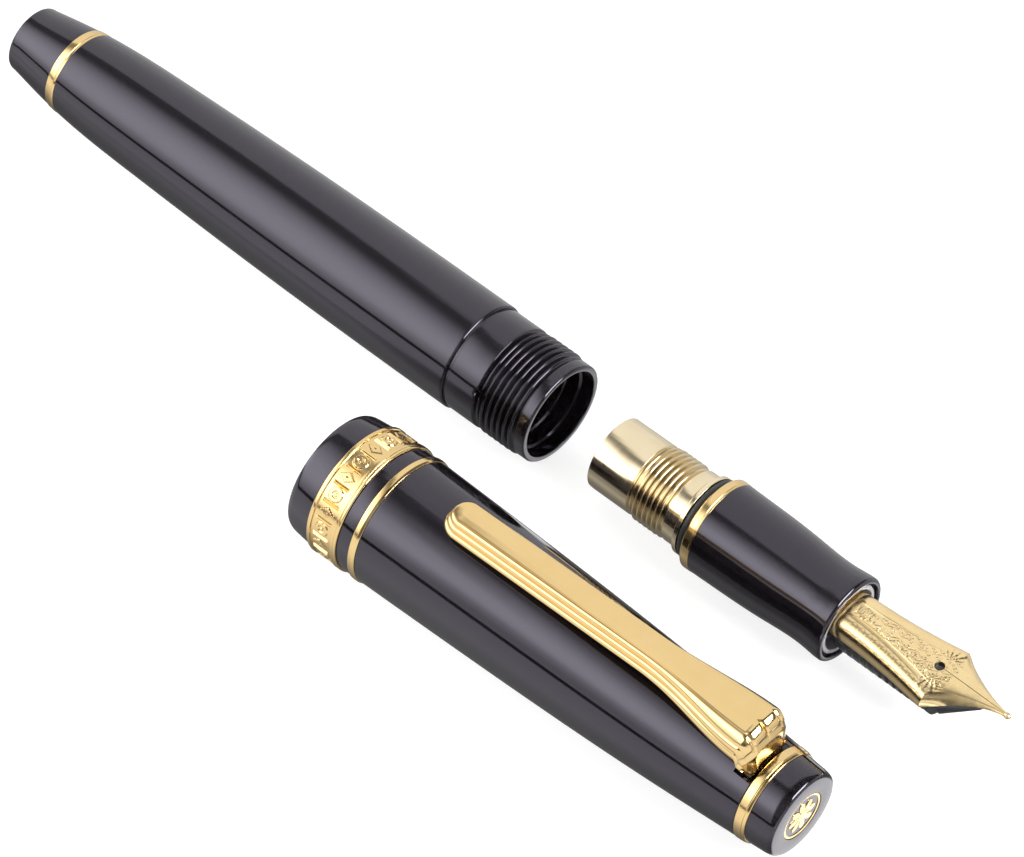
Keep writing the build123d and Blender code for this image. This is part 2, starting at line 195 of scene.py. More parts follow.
def lathe(name, outline, axis, relief=None, segments=SEGMENTS, closed=False, sharp=38):
    """A turned piece. relief(station, angle, radius) may give each point its own radius."""
    vertices = []
    rings = []
    turns = [2 * pi * k / segments for k in range(segments)]
    for station, radius in outline:
        x = TAIL + station * MM
        if radius < 1e-4:
            rings.append([len(vertices)] * segments)
            vertices.append((x, axis[0], axis[1]))
            continue
        rings.append(list(range(len(vertices), len(vertices) + segments)))
        for turn in turns:
            r = relief(station, turn, radius) if relief else radius
            vertices.append((x, axis[0] + r * sin(turn) * MM, axis[1] + r * cos(turn) * MM))
    pairs = list(zip(rings, rings[1:]))
    if closed:
        pairs.append((rings[-1], rings[0]))
    faces = []
    for a, b in pairs:
        for k in range(segments):
            m = (k + 1) % segments
            corner = []
            for v in (a[k], a[m], b[m], b[k]):
                if v not in corner:
                    corner.append(v)
            if len(corner) > 2:
                faces.append(corner)
    return finished(name, vertices, faces, sharp)


def skin(name, loops, axis, sharp=38):
    """A closed piece through a row of loops of (station, y, z) points, with both ends capped."""
    count = len(loops[0])
    vertices = []
    for loop in loops:
        for station, y, z in loop:
            vertices.append((TAIL + station * MM, axis[0] + y * MM, axis[1] + z * MM))
    faces = []
    for row in range(len(loops) - 1):
        for k in range(count):
            m = (k + 1) % count
            a = row * count
            b = a + count
            faces.append((a + k, a + m, b + m, b + k))
    faces.append(tuple(range(count)))
    last = (len(loops) - 1) * count
    faces.append(tuple(range(last + count - 1, last - 1, -1)))
    return finished(name, vertices, faces, sharp)


def carve(piece, cutters, sharp=38):
    """Cut other pieces out of a piece and remove them."""
    for cutter in cutters:
        cut = piece.modifiers.new("cut", "BOOLEAN")
        cut.operation = "DIFFERENCE"
        cut.solver = "EXACT"
        cut.object = cutter
    graph = bpy.context.evaluated_depsgraph_get()
    mesh = bpy.data.meshes.new_from_object(piece.evaluated_get(graph))
    piece.modifiers.clear()
    piece.data = mesh
    for cutter in cutters:
        bpy.data.objects.remove(cutter)
    form = bmesh.new()
    form.from_mesh(mesh)
    shade(form, sharp)
    form.to_mesh(mesh)
    form.free()
    return piece


def block(name, start, end, half_width, low, high, axis):
    """A square-edged block between two stations, used as a cutter."""
    corners = [(-half_width, low), (half_width, low), (half_width, high), (-half_width, high)]
    loops = [[(s, y, z) for y, z in corners] for s in (start, end)]
    return skin(name, loops, axis)


# ---------- materials


def new_material(name):
    """A node material with its shader and the object's own coordinates."""
    material = bpy.data.materials.new(name)
    material.use_nodes = True
    nodes = material.node_tree.nodes
    shader = nodes["Principled BSDF"]
    coordinates = nodes.new("ShaderNodeTexCoord")
    return material, material.node_tree, shader, coordinates


def fill(node, values):
    """Set a node's inputs from a table of names and values."""
    for name, value in values.items():
        node.inputs[name].default_value = value


def noise_of(tree, coordinates, scale, detail=3.0, stretch=(1, 1, 1)):
    """Noise in the object's own space, stretched along its axes."""
    mapping = tree.nodes.new("ShaderNodeMapping")
    mapping.inputs["Scale"].default_value = stretch
    tree.links.new(coordinates.outputs["Object"], mapping.inputs["Vector"])
    noise = tree.nodes.new("ShaderNodeTexNoise")
    fill(noise, {"Scale": scale, "Detail": detail})
    tree.links.new(mapping.outputs["Vector"], noise.inputs["Vector"])
    return noise.outputs["Fac"]


def spread(tree, value, low, high, socket):
    """Lead a 0 to 1 value, spread between two numbers, into a socket."""
    span = tree.nodes.new("ShaderNodeMapRange")
    fill(span, {"From Min": 0.3, "From Max": 0.7, "To Min": low, "To Max": high})
    tree.links.new(value, span.inputs["Value"])
    tree.links.new(span.outputs["Result"], socket)


def tint(tree, value, first, second, shader):
    """Blend the base colour between two colours."""
    mix = tree.nodes.new("ShaderNodeMix")
    mix.data_type = "RGBA"
    fill(mix, {"A": (*first, 1), "B": (*second, 1)})
    tree.links.new(value, mix.inputs["Factor"])
    tree.links.new(mix.outputs["Result"], shader.inputs["Base Color"])


def bump(tree, value, strength, distance, shader):
    """Fine surface relief from a value."""
    node = tree.nodes.new("ShaderNodeBump")
    fill(node, {"Strength": strength, "Distance": distance * MM})
    tree.links.new(value, node.inputs["Height"])
    tree.links.new(node.outputs["Normal"], shader.inputs["Normal"])


def resin():
    """Polished black resin: deep gloss, faint polishing marks along the pen."""
    material, tree, shader, coordinates = new_material("black_resin")
    fill(shader, {"IOR": 1.6, "Specular Tint": (0.88, 0.83, 1.0, 1)})
    cloud = noise_of(tree, coordinates, 260, 2)
    tint(tree, cloud, (0.0045, 0.0036, 0.0042), (0.006, 0.0046, 0.0055), shader)
    marks = noise_of(tree, coordinates, 900, 4, (0.25, 2, 2))
    spread(tree, marks, 0.05, 0.1, shader.inputs["Roughness"])
    bump(tree, marks, 0.05, 0.01, shader)
    return material


def metal(name, first, second, rough, marks_scale, stretch, bump_strength=0.06):
    """A metal whose colour, gloss and fine marks vary a little over the surface."""
    material, tree, shader, coordinates = new_material(name)
    shader.inputs["Metallic"].default_value = 1.0
    cloud = noise_of(tree, coordinates, 320, 2)
    tint(tree, cloud, first, second, shader)
    marks = noise_of(tree, coordinates, marks_scale, 4, stretch)
    spread(tree, marks, rough[0], rough[1], shader.inputs["Roughness"])
    bump(tree, marks, bump_strength, 0.02, shader)
    return material


def moulded(name, first, second, rough, grain=1500, bump_strength=0.15):
    """A plain moulded plastic or rubber with a fine grain."""
    material, tree, shader, coordinates = new_material(name)
    cloud = noise_of(tree, coordinates, 400, 2)
    tint(tree, cloud, first, second, shader)
    fine = noise_of(tree, coordinates, grain, 3)
    spread(tree, fine, rough[0], rough[1], shader.inputs["Roughness"])
    bump(tree, fine, bump_strength, 0.02, shader)
    return material


def clear_plastic():
    """The converter's clear tube, with slight moulding haze."""
    material, tree, shader, coordinates = new_material("clear_tube")
    fill(shader, {"Transmission Weight": 0.9, "IOR": 1.45})
    cloud = noise_of(tree, coordinates, 300, 2)
    tint(tree, cloud, (0.86, 0.9, 0.93), (0.93, 0.95, 0.96), shader)
    spread(tree, cloud, 0.04, 0.12, shader.inputs["Roughness"])
    return material


RESIN = resin()
GOLD = metal("gold_plate", (0.66, 0.47, 0.21), (0.71, 0.52, 0.25), (0.1, 0.17), 900, (0.3, 1, 1))
NIB_GOLD = metal("nib_gold", (0.71, 0.53, 0.26), (0.79, 0.62, 0.35), (0.16, 0.26), 1500, (1, 1, 1), 0.15)
BRASS = metal("bare_brass", (0.66, 0.54, 0.35), (0.74, 0.64, 0.45), (0.1, 0.17), 700, (4, 0.4, 0.4), 0.1)
STEEL = metal("steel", (0.5, 0.5, 0.52), (0.62, 0.62, 0.63), (0.2, 0.34), 900, (3, 0.5, 0.5))
HARD_TIP = metal("hard_tip", (0.62, 0.5, 0.28), (0.7, 0.58, 0.36), (0.2, 0.3), 2000, (1, 1, 1))
RUBBER = moulded("seal_rubber", (0.012, 0.012, 0.012), (0.022, 0.022, 0.022), (0.4, 0.6))
FEED = moulded("feed_plastic", (0.012, 0.012, 0.014), (0.02, 0.02, 0.022), (0.28, 0.42))
HOLDER = moulded("grey_holder", (0.22, 0.215, 0.225), (0.3, 0.295, 0.31), (0.3, 0.45))
CLEAR = clear_plastic()


def put(piece, node, body, material):
    """Give a piece its material and that material's slot, and let it stand for a CAD node."""
    piece.data.materials.clear()
    piece.data.materials.append(material)
    # Blender numbers a name that a CAD material already has, and the slot has no number.
    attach(piece, body)
    if node:
        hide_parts(node)
    return piece


# ---------- threads and reliefs


def helix(start, end, pitch, root, crest, roundness=0.8):
    """Relief of a helical thread between two stations; elsewhere the radius is left alone."""

    def relief(station, angle, radius):
        if not start < station < end:
            return radius
        turns = (station - start) / pitch - angle / (2 * pi)
        wave = 0.5 - 0.5 * cos(2 * pi * turns)
        edge = min((station - start) / pitch, (end - station) / pitch, 1)
        return root + (crest - root) * edge**0.5 * wave**roundness

    return relief


# ---------- barrel

FORM = [(0, 3.95), (7.0, 5.05), (20.0, 5.84), (40.0, 6.32), (67.3, 6.48)]
BARREL_LIMIT = 6.475
FORM_LINE = [(station, min(radius, BARREL_LIMIT)) for station, radius in smooth_line(FORM, 0.7)]


def form_between(start, end):
    """The part of the barrel's long outline between two stations."""
    s = [p[0] for p in FORM_LINE]
    r = [p[1] for p in FORM_LINE]
    inside = [p for p in FORM_LINE if start < p[0] < end]
    return [(start, float(np.interp(start, s, r))), *inside, (end, float(np.interp(end, s, r)))]


def tail_plug():
    """The closed tail end with its spigot."""
    ring = start_of("barrel_end_ring")
    spigot_end = end_of("barrel_end_cap")
    spigot_r = 3.2
    body = form_between(0.35, ring - 0.06)
    edge = soften([(0, 0), (0, body[0][1], 0.35), body[1]])
    face = (ring, body[-1][1], 0.06)
    back = soften([body[-2], face, (ring, spigot_r), (spigot_end, spigot_r, 0.2), (spigot_end, 0)])
    outline = edge[:-1] + body[1:-1] + back[1:]
    return lathe("tail_plug", outline, BARREL_AXIS)


def tail_ring():
    """The gold ring by the tail: a flat band with a bright bevel on its nib side."""
    start, end = span_of("barrel_end_ring")
    bore = 3.22
    outline = soften([
        (start, bore), (start, 5.1, 0.04), (end - 0.34, 5.2, 0.03), (end - 0.3, 5.15, 0.02),
        (end - 0.24, 5.2, 0.05), (end, 5.12, 0.05), (end, bore),
    ])
    return lathe("tail_ring", outline, BARREL_AXIS, closed=True)


def barrel_tube():
    """The barrel with its stepped neck, cap thread, mouth collar and threaded bore."""
    start, mouth = span_of("barrel_shell")
    shoulder = 67.6
    thread_start = 72.0
    thread_end = 77.6
    body = form_between(start + 0.05, shoulder - 0.45)
    outer = soften([
        body[-1],
        (shoulder - 0.16, BARREL_LIMIT, 0.12), (shoulder, 6.3, 0.06), (shoulder + 0.02, 6.1, 0.04),
        (shoulder + 0.3, 6.1, 0.04), (shoulder + 0.34, 6.27, 0.08), (thread_start - 1.7, 6.27),
        (thread_start - 0.2, 6.27, 0.08), (thread_start, 5.9, 0.05), (thread_end, 5.9),
        (thread_end + 0.12, 6.08, 0.06), (mouth - 0.14, 6.07, 0.08), (mouth, 5.95, 0.06),
        (mouth, 5.42, 0.08), (mouth - 0.12, 5.38, 0.04), (mouth - 1.7, 5.36, 0.04),
        (mouth - 1.75, 5.04, 0.06), (mouth - 3.4, 5.0, 0.04), (mouth - 3.5, 4.8, 0.04),
        (mouth - 8.0, 4.8), (mouth - 8.0, 4.6), (mouth - 15.0, 4.6, 0.1), (mouth - 15.0, 4.12, 0.1),
        (11.6, 4.12, 0.1), (11.6, 3.24), (start, 3.24), (start, 5.05),
    ])
    outer = divided(outer, thread_start - 1.75, thread_end + 0.01, 0.04)
    outer = divided(outer, mouth - 8.0, mouth - 3.5, 0.08)
    outline = body[:-1] + outer
    outside = helix(thread_start, thread_end, 0.8, 5.78, 6.3, 0.75)
    inside = helix(mouth - 8.0, mouth - 5.0, 0.67, 4.8, 4.68)
    pocket_station = thread_start + 0.3
    pocket_angle = radians(298)

    def relief(station, angle, radius):
        if radius > 5.5 and station < thread_end:
            along = (station - pocket_station) / 0.85
            around = (angle - pocket_angle) * radius / (0.65 + 0.25 * along)
            pocket = 1 - along**2 - around**2
            if pocket > 0:
                return min(6.27, outside(station, angle, radius)) - 0.8 * ease(1.8 * pocket)
        if radius > 5.5:
            return outside(station, angle, radius)
        if radius > 4.7 and station < mouth - 3.4:
            return inside(station, angle, radius)
        return radius

    return lathe("barrel_tube", outline, BARREL_AXIS, relief, FINE_SEGMENTS, closed=True, sharp=50)


put(tail_plug(), "barrel_end_cap", "barrel", RESIN)
put(tail_ring(), "barrel_end_ring", "barrel", GOLD)
put(barrel_tube(), "barrel_shell", "barrel", RESIN)

# ---------- nib section


def sleeve():
    """The turned brass sleeve: plain tube, thread, neck and flange."""
    back, inner_end = span_of("connector_sleeve")
    seal = start_of("o_ring")
    thread_start = back + 5.6
    thread_end = thread_start + 7 * 0.67
    outline = soften([
        (back, 3.75), (back, 4.36, 0.16), (thread_start - 0.15, 4.36, 0.03),
        (thread_start, 4.1, 0.05), (thread_end, 4.1), (thread_end + 0.05, 4.1, 0.05),
        (thread_end + 0.2, 4.41, 0.05), (seal - 0.75, 4.41, 0.04), (seal - 0.7, 4.34, 0.03),
        (seal - 0.6, 4.34, 0.03), (seal - 0.55, 4.84, 0.08), (seal, 4.84, 0.08), (seal, 3.92),
        (inner_end, 3.92, 0.1), (inner_end, 3.2), (seal + 1.2, 3.2), (seal + 1.2, 3.75),
    ])
    outline = divided(outline, thread_start - 0.01, thread_end + 0.06, 0.04)
    thread = helix(thread_start, thread_end, 0.67, 3.95, 4.53, 0.85)

    def relief(station, angle, radius):
        return thread(station, angle, radius) if radius > 4 else radius

    return lathe("connector_tube", outline, BARREL_AXIS, relief, FINE_SEGMENTS, closed=True, sharp=50)


def seal_ring():
    """The rubber ring, round in section."""
    start, end = span_of("o_ring")
    centre = (start + end) / 2
    half = (end - start) / 2
    outline = []
    for k in range(24):
        turn = 2 * pi * k / 24
        outline.append((centre + half * cos(turn), 4.42 + half * sin(turn)))
    return lathe("seal_ring", outline, BARREL_AXIS, closed=True)


def trim_ring():
    """The gold ring behind the grip, bevelled towards the sleeve."""
    start, end = span_of("section_trim_ring")
    outline = soften([
        (start, 3.92), (start, 5.28, 0.05), (start + 0.24, 5.54, 0.06), (end - 0.28, 5.54, 0.03),
        (end - 0.24, 5.5, 0.02), (end - 0.18, 5.54, 0.04), (end, 5.5, 0.04), (end, 3.92),
    ])
    return lathe("trim_ring", outline, BARREL_AXIS, closed=True)


def grip():
    """The tapered grip with its flared and rounded rim."""
    start, end = span_of("grip_shell")
    taper = [(start, 5.5), (105.0, 5.44), (111.0, 5.22), (116.4, 5.01), (117.5, 5.1), (118.3, 5.17)]
    line = smooth_line(taper, 0.3)
    rim = soften([
        line[-1],
        (end - 0.25, 5.17, 0.22), (end, 4.9, 0.14), (end, 4.58, 0.1), (end - 0.35, 4.5, 0.06),
        (end - 1.0, 4.5), (end - 1.0, 4.23), (108.2, 4.23), (108.2, 3.94), (start, 3.94),
        line[0],
    ])
    return lathe("grip", line[:-1] + rim, BARREL_AXIS, closed=True)


def holder():
    """The inner housing, recessed around the nib, with the cartridge nipple at its back."""
    back, face = span_of("nib_holder")
    socket = 3.3
    outline = soften([
        (back, 0.6), (back, 1.1, 0.1), (back + 0.5, 1.2, 0.1), (101.0, 1.2, 0.1),
        (101.0, 3.16, 0.1), (108.2, 3.16), (108.2, 4.2, 0.1), (face, 4.2, 0.12), (face, 3.72, 0.1),
        (face - 1.6, 3.66, 0.05), (face - 1.6, socket), (105.9, socket), (105.9, 0.6),
    ])
    return lathe("nib_housing", outline, BARREL_AXIS, closed=True)


put(sleeve(), "connector_sleeve", "section", BRASS)
put(seal_ring(), "o_ring", "section", RUBBER)
put(trim_ring(), "section_trim_ring", "section", GOLD)
put(grip(), "grip_shell", "section", RESIN)
put(holder(), "nib_holder", "section", HOLDER)

# ---------- nib and feed

NIB_THICKNESS = 0.28
NIB_START = 107.5
NIB_MOUTH = 119.5
SHOULDER = 131.8
NIB_END = 139.85


def nib_width(station):
    """Half the nib's width: straight in the housing, flared to the shoulders, drawn in to the tip."""
    if station < NIB_MOUTH:
        return 2.98
    if station < SHOULDER:
        t = (station - NIB_MOUTH) / (SHOULDER - NIB_MOUTH)
        return 2.98 + 1.2 * t**1.9
    t = (station - SHOULDER) / (NIB_END - SHOULDER)
    return 0.3 + 3.88 * (1 - t) ** 1.55


def nib_keys(station):
    """Crown height, crease (y, z) and edge (y, z) of the nib's section at a station."""
    width = nib_width(station)
    crown = 3.2 - 0.1 * ease((station - SHOULDER) / (NIB_END - SHOULDER))
    if station < SHOULDER:
        t = max(station - NIB_MOUTH, 0) / (SHOULDER - NIB_MOUTH)
        edge = 0.7 + 0.3 * t
        crease_y = 1.0 + 1.6 * t**1.9
        crease_z = 3.04 - 0.32 * t**1.9
    else:
        t = (station - SHOULDER) / (NIB_END - SHOULDER)
        edge = 1.0 + 1.85 * ease(t**0.62)
        crease_y = width * 0.62
        crease_z = crown - (crown - edge) * 0.22
    return width, crown, crease_y, crease_z, edge


def stroke(distance, half_width=0.085):
    """Depth of an engraved line at a distance from its middle."""
    return max(0.0, 1 - abs(distance) / half_width)


def engraving(station, across, y):
    """Depth of the engraved line pattern: curling vines on top, a chain down each side."""
    side = abs(across)
    along = station - NIB_MOUTH
    depth = 0.0
    if side < 0.95 and 0.7 < along < 13.4:
        depth = max(stroke(side - 0.87, 0.03), vine(along, abs(y), 0.42, 2.3, 0.0))
        for lane, period, first in ((0.95, 1.9, 3.4), (1.45, 2.1, 7.5), (1.95, 1.7, 9.5)):
            if along > first and side < 0.8:
                depth = max(depth, vine(along, abs(y), lane, period, lane))
        if along < 2.6 and side < 0.62:
            depth = max(depth, stroke((along * 3.1) % 1 - 0.5, 0.2) * 0.8)
    if 1.08 < side < 1.52 and 0.9 < along < 11.9:
        lane = (side - 1.3) / 0.17
        link = sin(2 * pi * along / 2.1)
        chain = max(stroke(lane - link, 0.24), stroke(lane + link, 0.24), stroke(side - 1.5, 0.02))
        depth = max(depth, 0.3 * chain)
    return min(depth, 1)


def vine(along, across, middle, period, shift):
    """Depth of a waving stem with a curl in each of its bends."""
    place = (along + shift) / period
    bend = sin(2 * pi * place)
    depth = stroke(across - middle - 0.2 * bend)
    curl_along = (place % 0.5) * period - period / 4
    curl_side = middle - 0.12 if place % 1 < 0.5 else middle + 0.12
    reach = hypot(curl_along, across - curl_side)
    twist = atan2(across - curl_side, curl_along)
    if reach < 0.42:
        depth = max(depth, stroke(reach - 0.18 - 0.045 * twist, 0.07))
    return depth


def flutes(station, y):
    """Height of the short raised flutes fanned over each shoulder."""
    along = station - (SHOULDER - 0.6)
    out = abs(y) - 2.35
    reach = hypot(along, out)
    if reach > 1.25 or out < -0.75:
        return 0.0
    fan = atan2(along, out + 1.1)
    return 0.045 * (0.5 + 0.5 * cos(fan * 14)) * ease((1.25 - reach) / 0.3)


def nib_point(station, across, inward):
    """A point on the nib: across runs from -2 (one edge) through 0 (crown) to 2 (other edge)."""
    width, crown, crease_y, crease_z, edge = nib_keys(station)
    side = abs(across)
    if side <= 1:
        y = crease_y * side
        z = crown - (crown - crease_z) * side**2
        slope = 2 * (crown - crease_z) * side / crease_y
        normal = Vector((slope, 1)).normalized()
    else:
        t = side - 1
        run = Vector((width - crease_y, edge - crease_z))
        outward = Vector((-run[1], run[0])).normalized()
        round_side = 0.2 * run.length * ease((SHOULDER + 3 - station) / 3) + 0.03 * run.length
        bulge = round_side * 4 * t * (1 - t)
        y = crease_y + run[0] * t + outward[0] * bulge
        z = crease_z + run[1] * t + outward[1] * bulge
        lean = (0.5 - t) * 8 * round_side / run.length
        normal = (outward + run.normalized() * -lean * 0.5).normalized()
    fade = ease((SHOULDER + 0.6 - station) / 1.2) * ease((station - NIB_MOUTH - 0.2) / 0.6)
    lift = -inward
    if not inward:
        ridge = 0.07 * exp(-(((side - 1) / 0.04) ** 2)) * fade
        lift = ridge - 0.045 * engraving(station, across, y) + flutes(station, y)
    y += normal[0] * lift
    z += normal[1] * lift
    return (station, y if across >= 0 else -y, z)


def nib():
    """The engraved nib, with its breather hole and slit cut through."""
    stations = []
    plain = SHOULDER + 1.8
    spans = ((NIB_START, NIB_MOUTH, 1.5), (NIB_MOUTH, plain, 0.055), (plain, NIB_END, 0.11))
    for start, end, step in spans:
        count = int(round((end - start) / step))
        stations += [start + (end - start) * k / count for k in range(count)]
    stations.append(NIB_END)
    columns = 128
    lanes = [-2 + 4 * k / columns for k in range(columns + 1)]
    loops = []
    for station in stations:
        thick = NIB_THICKNESS * (0.6 if station > SHOULDER + 4 else 1)
        outer = [nib_point(station, lane, 0) for lane in lanes]
        inner = [nib_point(station, lane, thick) for lane in reversed(lanes)]
        loops.append(outer + inner)
    sheet = skin("nib_sheet", loops, BARREL_AXIS)
    hole = 131.0
    hole_r = 0.57
    turns = [2 * pi * k / 48 for k in range(48)]
    well = [
        [(hole + hole_r * cos(t), hole_r * sin(t), z) for t in turns]
        for z in (1.5, 4.5)
    ]
    drill = skin("drill", well, BARREL_AXIS)
    slit = block("slit", hole, NIB_END + 1, 0.035, 1.5, 4.5, BARREL_AXIS)
    return carve(sheet, [drill, slit], 30)


def tipping():
    """The writing ball: a small rounded pellet under and in front of the tip."""
    tip = end_of("nib_tipping")
    length = 1.0
    radius = 0.36
    outline = []
    for k in range(17):
        t = k / 16
        outline.append((tip - length + length * t, radius * sin(pi * t) ** 0.6 if 0 < k < 16 else 0))
    axis = (BARREL_AXIS[0], BARREL_AXIS[1] + 2.86 * MM)
    return lathe("writing_tip", outline, axis, segments=32)


FINS_START = 120.3
FINS_END = 133.0
FIN_PITCH = 0.95
FIN_SHARE = 0.52


def feed():
    """The feed: round in the housing, a comb of fins under the nib, and a tapered beak."""
    back, beak_tip = span_of("feed")
    stations = [back, back + 0.1]
    stations += [back + 0.3 + (FINS_START - back - 0.3) * k / 8 for k in range(8)]
    for k in range(int((FINS_END - FINS_START) / FIN_PITCH)):
        foot = FINS_START + k * FIN_PITCH
        fin_end = foot + FIN_SHARE * FIN_PITCH
        stations += [foot + 0.001, fin_end, fin_end + 0.002, foot + FIN_PITCH - 0.001]
    stations += [FINS_END + 0.01 + (beak_tip - FINS_END - 0.02) * k / 12 for k in range(13)]
    loops = [feed_loop(station, beak_tip) for station in stations]
    return skin("feed_comb", loops, BARREL_AXIS, 30)


def feed_loop(station, beak_tip):
    """One section of the feed: fins wider than the core below the nib's edge, then the beak."""
    in_comb = FINS_START <= station < FINS_END
    place = ((station - FINS_START) / FIN_PITCH) % 1
    in_fin = in_comb and place <= FIN_SHARE + 0.001
    t = min(max((station - FINS_END) / (beak_tip - FINS_END), 0), 1)
    loop = []
    for k in range(72):
        turn = 2 * pi * k / 72
        radius = 2.62
        below = 0.45 - 2.62 * cos(turn)
        if below > 0 and in_fin:
            radius += 0.52 * ease(below / 0.25)
        if below > 0 and in_comb and not in_fin:
            radius -= 1.2 * ease(below / 0.25)
        y = radius * sin(turn)
        z = radius * cos(turn) + 0.15
        if station >= FINS_END:
            y *= 1 - 0.74 * t
            top = 2.7 - 0.35 * t
            bottom = -2.3 + 3.75 * t
            z = bottom + (top - bottom) * (cos(turn) + 1) / 2
        loop.append((station, y, z))
    return loop


put(nib(), "nib", "nib_unit", NIB_GOLD)
put(tipping(), "nib_tipping", "nib_unit", HARD_TIP)
put(feed(), "feed", "nib_unit", FEED)

# ---------- cap

CAP_LINE = smooth_line([(76.9, 7.58), (90.0, 7.3), (103.0, 6.93), (115.0, 6.4), (127.2, 5.6)], 0.4)


def cap_tube():
    """The cap: rounded lip, ring seats, tapered body, threaded bore and the clip's slot."""
    lip, end = span_of("cap_shell")
    band, band_end = span_of("cap_band")
    thin, thin_end = span_of("cap_thin_ring")
    thread_start = lip + 4.0
    thread_end = lip + 10.0
    mouth = soften([
        (lip + 0.9, 6.45), (lip + 0.25, 6.55, 0.2), (lip, 6.8, 0.25), (lip, 7.12, 0.3),
        (lip + 0.5, 7.34, 0.3), (band - 0.04, 7.62, 0.05), (band, 7.5, 0.03), (band, 7.22),
        (band_end, 7.22), (band_end, 7.56, 0.03), (band_end + 0.05, 7.6, 0.04),
        (thin - 0.05, 7.6, 0.04), (thin, 7.54, 0.03), (thin, 7.22), (thin_end, 7.22),
        (thin_end, 7.52, 0.03), (thin_end + 0.06, 7.58, 0.03), CAP_LINE[1],
    ])
    inside = soften([
        CAP_LINE[-2], (end, 5.6, 0.06), (end, 1.5), (120.6, 1.5), (120.6, 5.34), (98.5, 5.34),
        (98.5, 5.75, 0.1), (lip + 13.0, 5.75), (lip + 13.0, 6.4, 0.1), (thread_end, 6.4),
        (thread_start, 6.4), (lip + 0.9, 6.45),
    ])
    inside = divided(inside, thread_start - 0.01, thread_end + 0.01, 0.07)
    outline = mouth[:-1] + CAP_LINE[1:-2] + inside[:-1]
    thread = helix(thread_start, thread_end, 0.8, 6.4, 6.12)

    def relief(station, angle, radius):
        return thread(station, angle, radius) if radius < 6.6 and station < 90 else radius

    tube = lathe("cap_tube", outline, CAP_AXIS, relief, FINE_SEGMENTS, closed=True, sharp=50)
    slot = block("slot", 124.95, end + 0.5, 3.1, 4.6, 9.0, CAP_AXIS)
    return carve(tube, [slot], 50)


def ornament(angle, across):
    """Height of the band's raised pattern: lozenges, twin bars and rounded bosses in turn."""
    repeats = 22
    pitch = 1.0 / repeats
    place = (angle / (2 * pi)) / pitch
    cell = floor(place)
    along = (place - cell - 0.5) * 2.23
    half_height = 1.05
    reach = abs(across)
    if reach > half_height:
        return 0
    if cell % 2:
        ring = hypot(along, across)
        form = 0.26 - abs(ring - 0.62)
        form = max(form, 0.24 - ring)
    else:
        form = 0.82 - abs(along) * 1.25 - reach * 0.85
        form = min(form, 0.3)
        inner = 0.34 - abs(along) * 1.25 - reach * 0.85
        if inner > 0:
            form = 0.3 - inner
    bar = 0.11 - abs(abs(along) - 1.0)
    form = max(form, min(bar, half_height - reach))
    return min(max(form / 0.1, 0), 1)


def cap_ring():
    """The wide band at the cap's mouth: plain rims and a raised repeating pattern between."""
    start, end = span_of("cap_band")
    top = radius_of("cap_band") - 0.004
    field = top - 0.2
    outline = soften([
        (start, 7.22), (start, top - 0.12, 0.05), (start + 0.12, top, 0.08),
        (start + 0.5, top, 0.04), (start + 0.56, field, 0.03), (end - 0.84, field, 0.03),
        (end - 0.78, top, 0.04), (end - 0.44, top, 0.03), (end - 0.4, top - 0.05, 0.02),
        (end - 0.36, top, 0.03), (end - 0.1, top, 0.08), (end, top - 0.12, 0.05), (end, 7.22),
    ])
    outline = divided(outline, start + 0.56, end - 0.84, 0.06)
    centre = (start + end - 0.28) / 2

    def relief(station, angle, radius):
        if start + 0.6 < station < end - 0.88 and radius > 7.5:
            return field + 0.15 * ornament(angle, station - centre)
        return radius

    return lathe("cap_band_ring", outline, CAP_AXIS, relief, 880, closed=True, sharp=30)


def thin_ring():
    """The narrow gold ring."""
    start, end = span_of("cap_thin_ring")
    outline = soften([
        (start, 7.22), (start, 7.68, 0.05), (start + 0.1, 7.75, 0.05), (end - 0.3, 7.75, 0.05),
        (end, 7.62, 0.05), (end, 7.22),
    ])
    return lathe("cap_line_ring", outline, CAP_AXIS, closed=True)


def liner():
    """The inner cap."""
    start, end = span_of("inner_cap")
    outline = soften([
        (start, 4.7, 0.1), (start, 5.3, 0.15), (end, 5.3, 0.1), (end, 1.5), (end - 1.0, 1.5),
        (end - 1.0, 4.6, 0.3), (start + 0.3, 4.6, 0.2),
    ])
    return lathe("cap_liner", outline, CAP_AXIS, closed=True)


def top_ring():
    """The gold ring that carries the clip: a flat band with a bright bevel by the finial."""
    start, end = span_of("clip_ring")
    outline = soften([
        (start, 1.5), (start, 5.55, 0.05), (start + 0.12, 5.66, 0.06), (end - 0.42, 5.6, 0.03),
        (end - 0.38, 5.53, 0.02), (end - 0.32, 5.57, 0.05), (end - 0.05, 5.48, 0.06),
        (end, 5.4, 0.03), (end, 1.5),
    ])
    return lathe("clip_collar", outline, CAP_AXIS, closed=True)


def top_piece():
    """The finial: a short flat-topped end with a rounded edge and the emblem's seat."""
    start, end = span_of("finial")
    seat = radius_of("finial_emblem")
    outline = soften([
        (start, 0), (start, 5.34, 0.06), (end - 0.9, 5.18, 0.3), (end - 0.02, 5.0, 0.42),
        (end, seat + 0.02, 0.05), (end - 0.45, seat + 0.02), (end - 0.45, 0),
    ])
    return lathe("cap_finial", outline, CAP_AXIS)


def screw():
    """The slotted screw inside the cap."""
    start, end = span_of("finial_screw")
    outline = soften(
        [(start, 0), (start, 3.0, 0.3), (start + 0.9, 3.0, 0.1), (start + 0.9, 1.48),
         (end, 1.48, 0.2), (end, 0)]
    )
    piece = lathe("cap_screw", outline, CAP_AXIS, segments=64)
    return carve(piece, [block("driver_slot", start - 1, start + 0.4, 0.35, -4, 4, CAP_AXIS)])


